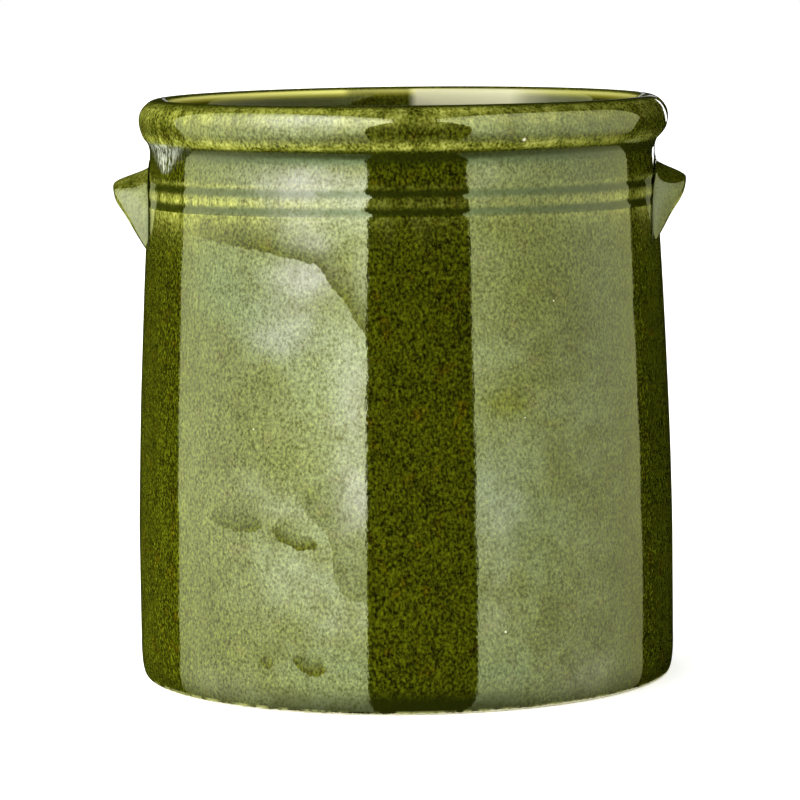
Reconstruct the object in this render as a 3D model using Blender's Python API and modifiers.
"""Open stoneware fermentation crock with two ear lugs and a pair of half-moon weights.

Run in Blender 4.5 (blender --background --python part.py, or from the text editor).
Units are metres, +Z up. The origin is the centre of the foot ring, on the surface the crock
stands on. The lugs lie on the X axis, the front faces -Y, so left is -X and right is +X.
"""

import math

import bmesh
import bpy
from mathutils import Matrix

GAP = 0.0003              # clearance between neighbouring pieces
SHARP_DEG = 50            # edges of the lugs and weights steeper than this shade sharp

# ---------------------------------------------------------------- crock dimensions
HEIGHT = 0.215            # foot to the crest of the rolled rim
BELLY_R = 0.1000          # largest outer radius, over the lower half
BELLY_TOP_Z = 0.050       # the wall is at its full radius from here down
NECK_R = 0.09385          # outer radius of the short neck under the rim
NECK_Z = 0.1935           # height where the wall starts to swell below the neck
SWELL_POWER = 1.5         # how the wall eases from the neck to the belly

WALL = 0.0080             # wall thickness
FLOOR_TOP_Z = 0.0120      # inside floor
FLOOR_FILLET = 0.0100     # inside corner radius

ROLL_R = 0.0918           # radius of the rim roll's centre line
CREST_R = 0.0910          # radius of its crest, a little inside that
ROLL_Z = 0.2070           # height of the rim roll's centre line
ROLL_OUT = 0.0065         # roll semi-axis, outwards
ROLL_UP = HEIGHT - ROLL_Z # roll semi-axis, upwards
ROLL_DOWN = 0.0095        # roll semi-axis, downwards on the outside

GROOVE_Z = (0.1842, 0.1778)  # two incised lines on the shoulder
GROOVE_HALF = 0.0011         # half their width at the wall's surface
GROOVE_FLOOR = 0.00045       # half the width of their flat bottom
GROOVE_DEPTH = 0.0008

FOOT_OUT_R = 0.0975       # outer edge of the flat foot ring
FOOT_IN_R = 0.0840        # inner edge of the flat foot ring
RECESS_R = 0.0825         # underside recess
RECESS_DEPTH = 0.0020
CORNER_Z = 0.0120         # the outer bottom corner starts to round here
CORNER_POWER = 1.2        # how the corner's height eases down to the foot

# heights of the profile's points on the plain wall
INNER_WALL_Z = (BELLY_TOP_Z, 0.090, 0.125, 0.160, NECK_Z)             # going up
OUTER_WALL_Z = (0.160, 0.135, 0.110, 0.085, BELLY_TOP_Z, CORNER_Z)    # going down
ARC_STEP_DEG = 18         # step of the inside corner's and the rim's arcs
TURN_STEPS = 72           # facets round the pot

# ---------------------------------------------------------------- lug dimensions
# half-hoods, open downwards, standing on the wall
LUG_REACH_LEFT = 0.0128   # how far the tip stands out from the wall
LUG_REACH_RIGHT = 0.0110
LUG_FOOT_Z = 0.1540       # lower ends of a lug
LUG_HALF_WIDTH = 0.0250   # half width at the lower ends, along the wall
LUG_ROOT_RISE = 0.0365    # how far above the foot the root's arch reaches on the wall
LUG_THICKNESS = 0.0050    # thickness at the free edge
LUG_END_DEG = 84.0        # the hood is lofted between -this and +this round its arch
LUG_SECTIONS = 29
LUG_OUTER_POINTS = 8
LUG_INNER_POINTS = 6

# free edge
EDGE_RISE = 0.0290        # how far above the foot it reaches at the tip
EDGE_POWER = 1.6          # how its arch departs from the root's
EDGE_END_REACH = 0.0014   # how far it stands out towards the lower ends
EDGE_REACH_POWER = 1.44   # how its reach fades away from the tip

# root of the underside, measured in from the outer root
INNER_ROOT_INSET = 0.0062 # along the wall at the lower ends
INNER_ROOT_DEPTH = 0.0095 # down at the tip
INNER_ROOT_DROP = 0.0012  # down everywhere

# control points of the outside curve; shares are of the free edge's place
HOLLOW_WIDTH_SHARE = 0.93 # of the root's place along the wall
HOLLOW_DROP = 0.0035      # below the root at the tip
HOLLOW_REACH_SHARE = 0.36
CROWN_WIDTH_SHARE = 1.04
CROWN_RISE = 0.0040       # above the free edge at the tip
CROWN_LIFT = 0.0006       # above the free edge everywhere
CROWN_REACH_SHARE = 0.92

# blunt band between the free edge and the underside
TUCK_DROP = 0.0024        # fall of its inner border at the tip
TUCK_END_DROP = 0.0006    # fall added everywhere
TUCK_CLEARANCE = 0.0006   # least distance of its inner border from the lug's root surface
BLUNT_DROP = 0.0024       # the band's middle point leans to a point this far under the edge
BLUNT_LEAN = 0.45         # by this share

# scoop of the underside
SCOOP_RISE = 0.0006       # its control point above the inner root at the tip
SCOOP_REACH_SHARE = 0.62  # of the tuck's reach

# ---------------------------------------------------------------- weight dimensions
# half-moons that rest side by side on the inside floor
WEIGHT_R = 0.0825
WEIGHT_THICKNESS = 0.0180
WEIGHT_SPLIT = 0.0050     # gap between the two straight edges
WEIGHT_HOLE_R = 0.0100    # finger hole
WEIGHT_HOLE_X = 0.0400    # hole centre from the crock's axis
WEIGHT_EDGE = 0.0025      # rounding of all edges
WEIGHT_EDGE_SEGMENTS = 3
WEIGHT_EDGE_LIMIT_DEG = 40
WEIGHT_SEGMENTS = 64
HOLE_SEGMENTS = 32
CUTTER_HEIGHT = 0.05      # passes right through a weight
CUTTER_WIDTH = 0.2        # covers the whole other half of the disc


# ---------------------------------------------------------------- helpers
def clear_scene():
    for obj in list(bpy.data.objects):
        bpy.data.objects.remove(obj, do_unlink=True)


def collection(name):
    made = bpy.data.collections.new(name)
    bpy.context.scene.collection.children.link(made)
    return made


def material(name, colour, roughness, coat=0.0):
    made = bpy.data.materials.new(name)
    made.use_nodes = True
    shader = made.node_tree.nodes["Principled BSDF"]
    shader.inputs["Base Color"].default_value = (*colour, 1.0)
    shader.inputs["Roughness"].default_value = roughness
    shader.inputs["Metallic"].default_value = 0.0
    shader.inputs["Coat Weight"].default_value = coat
    return made


def olive_glaze(part, colour):
    return material(f"olive_glaze_{part}", colour, roughness=0.16, coat=0.6)


def weight_clay(side):
    return material(f"weight_clay_{side}", colour=(0.62, 0.58, 0.47), roughness=0.6)


def smooth(mesh):
    mesh.shade_smooth()
    mesh.set_sharp_from_angle(angle=math.radians(SHARP_DEG))


def add_object(mesh, into, mat=None):
    """A new object in the collection into, named after its mesh."""
    obj = bpy.data.objects.new(mesh.name, mesh)
    into.objects.link(obj)
    if mat:
        mesh.materials.append(mat)
    return obj


def finish(bm, name, into, mat=None):
    """Turns a bmesh into an object and frees it."""
    mesh = bpy.data.meshes.new(name)
    bm.to_mesh(mesh)
    bm.free()
    return add_object(mesh, into, mat)


def cylinder(name, radius, height, segments, into, mat=None):
    bm = bmesh.new()
    bmesh.ops.create_cone(
        bm, cap_ends=True, segments=segments, radius1=radius, radius2=radius, depth=height
    )
    return finish(bm, name, into, mat)


def unit_cube(name, into):
    bm = bmesh.new()
    bmesh.ops.create_cube(bm, size=1.0)
    return finish(bm, name, into)


# ---------------------------------------------------------------- crock body
def wall_radius(z):
    """Outer radius of the plain wall at height z, between the bottom corner and the rim roll."""
    if z >= NECK_Z:
        return NECK_R
    if z <= BELLY_TOP_Z:
        return BELLY_R
    t = (NECK_Z - z) / (NECK_Z - BELLY_TOP_Z)
    return NECK_R + (BELLY_R - NECK_R) * (1.0 - (1.0 - t) ** SWELL_POWER)


def arc(centre, semi_axes, angles):
    """Points of an ellipse in the half section, at angles in degrees up from outwards."""
    return [
        (
            centre[0] + semi_axes[0] * math.cos(math.radians(angle)),
            centre[1] + semi_axes[1] * math.sin(math.radians(angle)),
        )
        for angle in angles
    ]


def rim_profile():
    """The rolled rim, from the inside wall over the crest to where it meets the neck."""
    step = ARC_STEP_DEG
    crest = (CREST_R, ROLL_Z)
    inner_half = CREST_R - (NECK_R - WALL)
    outer_half = ROLL_R + ROLL_OUT - CREST_R
    meet = -math.degrees(math.acos((NECK_R - ROLL_R) / ROLL_OUT))
    return [
        *arc(crest, (inner_half, ROLL_UP), range(180, 89, -step)),
        *arc(crest, (outer_half, ROLL_UP), range(90 - step, 0, -step)),
        *arc((ROLL_R, ROLL_Z), (ROLL_OUT, ROLL_DOWN), [*range(0, -55, -step), meet]),
    ]


def groove_profile(centre_z):
    """One incised line, from its upper lip to its lower lip."""
    return [
        (wall_radius(centre_z + dz) - depth, centre_z + dz)
        for dz, depth in (
            (GROOVE_HALF, 0.0),
            (GROOVE_FLOOR, GROOVE_DEPTH),
            (-GROOVE_FLOOR, GROOVE_DEPTH),
            (-GROOVE_HALF, 0.0),
        )
    ]


def bottom_corner_profile():
    """The rounded outer corner, from below the wall to the foot ring."""
    points = []
    for degrees in (-22.5, -45, -67.5, -90):
        angle = math.radians(degrees)
        radius = FOOT_OUT_R + (BELLY_R - FOOT_OUT_R) * math.cos(angle)
        points.append((radius, CORNER_Z * (1.0 + math.sin(angle)) ** CORNER_POWER))
    return points


def body_profile():
    """Half section of the crock as (radius, height), from the axis on the inside floor, up the
    inside, over the rim, down the outside and back to the axis under the floor."""
    fillet_centre = (BELLY_R - WALL - FLOOR_FILLET, FLOOR_TOP_Z + FLOOR_FILLET)
    points = [(0.0, FLOOR_TOP_Z)]
    points += arc(fillet_centre, (FLOOR_FILLET, FLOOR_FILLET), range(-90, 1, ARC_STEP_DEG))
    points += [(wall_radius(z) - WALL, z) for z in INNER_WALL_Z]
    points += rim_profile()
    points.append((NECK_R, NECK_Z))
    for centre_z in GROOVE_Z:
        points += groove_profile(centre_z)
    points += [(wall_radius(z), z) for z in OUTER_WALL_Z]
    points += bottom_corner_profile()
    # flat foot ring and shallow recess
    points += [(FOOT_IN_R, 0.0), (RECESS_R, RECESS_DEPTH), (0.0, RECESS_DEPTH)]
    return points


def build_body(into):
    points = body_profile()
    mesh = bpy.data.meshes.new("crock_body")
    mesh.from_pydata(
        [(r, 0.0, z) for r, z in points], [(i, i + 1) for i in range(len(points) - 1)], []
    )
    body = add_object(mesh, into, olive_glaze("body", colour=(0.075, 0.095, 0.008)))
    screw = body.modifiers.new("turn", "SCREW")
    screw.axis = "Z"
    screw.angle = 2 * math.pi
    screw.screw_offset = 0.0
    screw.steps = TURN_STEPS
    screw.render_steps = TURN_STEPS
    screw.use_merge_vertices = True
    screw.merge_threshold = 0.00001
    screw.use_smooth_shade = True


# ---------------------------------------------------------------- lugs
def mix(a, b, t):
    return tuple(x + (y - x) * t for x, y in zip(a, b))


def quadratic(a, b, c, t):
    return mix(mix(a, b, t), mix(b, c, t), t)


def cubic(a, b, c, d, t):
    return mix(quadratic(a, b, c, t), quadratic(b, c, d, t), t)


def lug_section(theta, reach):
    """One closed section of a lug as (along the wall, height, out from the wall) at the angle theta
    round its arch. It runs from the root over the outside to the free edge and back underneath."""
    sin, cos = math.sin(theta), math.cos(theta)
    side = math.copysign(1.0, sin)

    root = (LUG_HALF_WIDTH * sin, LUG_FOOT_Z + LUG_ROOT_RISE * cos, GAP)
    edge = (
        LUG_HALF_WIDTH * side * abs(sin) ** EDGE_POWER,
        LUG_FOOT_Z + EDGE_RISE * cos**EDGE_POWER,
        EDGE_END_REACH + (reach - EDGE_END_REACH) * cos**EDGE_REACH_POWER,
    )
    inner_root = (
        (LUG_HALF_WIDTH - INNER_ROOT_INSET) * sin,
        LUG_FOOT_Z - INNER_ROOT_DROP + (LUG_ROOT_RISE - INNER_ROOT_DEPTH) * cos,
        GAP,
    )

    # outside: a shallow hollow at the root, then a crown that rolls over into the free edge
    hollow = (
        root[0] * HOLLOW_WIDTH_SHARE,
        root[1] - HOLLOW_DROP * cos,
        GAP + HOLLOW_REACH_SHARE * (edge[2] - GAP),
    )
    crown = (
        edge[0] * CROWN_WIDTH_SHARE,
        edge[1] + CROWN_RISE * cos + CROWN_LIFT,
        GAP + CROWN_REACH_SHARE * (edge[2] - GAP),
    )
    section = [
        cubic(root, hollow, crown, edge, i / LUG_OUTER_POINTS)
        for i in range(LUG_OUTER_POINTS + 1)
    ]

    # blunt free edge, facing down and out
    tuck = (
        edge[0] - side * min(LUG_THICKNESS * abs(sin), abs(edge[0])),
        edge[1] - TUCK_DROP * cos - TUCK_END_DROP,
        max(edge[2] - LUG_THICKNESS * cos, GAP + TUCK_CLEARANCE),
    )
    below_edge = (edge[0], edge[1] - BLUNT_DROP, edge[2])
    section.append(mix(mix(edge, tuck, 0.5), below_edge, BLUNT_LEAN))

    # underside: a scoop for the fingertips
    scoop = (
        0.5 * (tuck[0] + inner_root[0]),
        inner_root[1] + SCOOP_RISE * cos,
        GAP + SCOOP_REACH_SHARE * (tuck[2] - GAP),
    )
    section += [
        quadratic(tuck, scoop, inner_root, i / LUG_INNER_POINTS)
        for i in range(LUG_INNER_POINTS + 1)
    ]
    return section


def on_wall(along, z, out, facing):
    """Bends a lug point round the crock, centred on the angle facing."""
    radius = wall_radius(z) + out
    angle = facing + along / wall_radius(z)
    return (radius * math.cos(angle), radius * math.sin(angle), z)


def build_lug(side, reach, facing, into):
    """Lofts the sections into a closed solid on the side of the crock at the angle facing."""
    end = math.radians(LUG_END_DEG)
    bm = bmesh.new()
    rings = []
    for i in range(LUG_SECTIONS):
        theta = -end + 2 * end * i / (LUG_SECTIONS - 1)
        section = lug_section(theta, reach)
        rings.append([bm.verts.new(on_wall(*point, facing)) for point in section])
    count = len(rings[0])
    for a, b in zip(rings, rings[1:]):
        for i in range(count):
            j = (i + 1) % count
            bm.faces.new((a[i], a[j], b[j], b[i]))
    bm.faces.new(rings[0])
    bm.faces.new(reversed(rings[-1]))
    bmesh.ops.triangulate(bm, faces=bm.faces[:])
    bmesh.ops.recalc_face_normals(bm, faces=bm.faces[:])
    glaze = olive_glaze(f"lug_{side}", colour=(0.085, 0.105, 0.010))
    lug = finish(bm, f"lug_handle_{side}", into, glaze)
    smooth(lug.data)


# ---------------------------------------------------------------- weights
def cut(target, cutter):
    """Subtracts a cutter from the target, and keeps the cutter out of renders."""
    cutter.hide_render = True
    cutter.display_type = "WIRE"
    boolean = target.modifiers.new("cut_" + cutter.name, "BOOLEAN")
    boolean.operation = "DIFFERENCE"
    boolean.solver = "EXACT"
    boolean.object = cutter


def build_weight(side, direction, into, cutters):
    """Half of a thick disc; direction is the sign of x on its side of the crock."""
    name = f"weight_half_{side}"
    centre_z = FLOOR_TOP_Z + GAP + WEIGHT_THICKNESS / 2
    hole_x = direction * WEIGHT_HOLE_X
    hole_centre = (hole_x, 0.0, centre_z)

    weight = cylinder(
        name, WEIGHT_R, WEIGHT_THICKNESS, WEIGHT_SEGMENTS, into, weight_clay(side)
    )
    # the mesh is moved so that the object's origin lies on the finger hole's axis
    weight.data.transform(Matrix.Translation((-hole_x, 0.0, 0.0)))
    weight.location = hole_centre

    split = unit_cube(name + "_split_cutter", cutters)
    split.scale = (CUTTER_WIDTH, CUTTER_WIDTH, CUTTER_HEIGHT)
    split.location = (-direction * (CUTTER_WIDTH - WEIGHT_SPLIT) / 2, 0.0, centre_z)
    cut(weight, split)

    hole = cylinder(name + "_hole_cutter", WEIGHT_HOLE_R, CUTTER_HEIGHT, HOLE_SEGMENTS, cutters)
    hole.location = hole_centre
    cut(weight, hole)

    bevel = weight.modifiers.new("edges", "BEVEL")
    bevel.width = WEIGHT_EDGE
    bevel.segments = WEIGHT_EDGE_SEGMENTS
    bevel.limit_method = "ANGLE"
    bevel.angle_limit = math.radians(WEIGHT_EDGE_LIMIT_DEG)
    smooth(weight.data)


def main():
    clear_scene()
    parts = collection("fermentation_crock")
    cutters = collection("cutters")
    build_body(parts)
    build_lug("right", LUG_REACH_RIGHT, facing=0.0, into=parts)
    build_lug("left", LUG_REACH_LEFT, facing=math.pi, into=parts)
    build_weight("left", -1.0, parts, cutters)
    build_weight("right", 1.0, parts, cutters)


main()
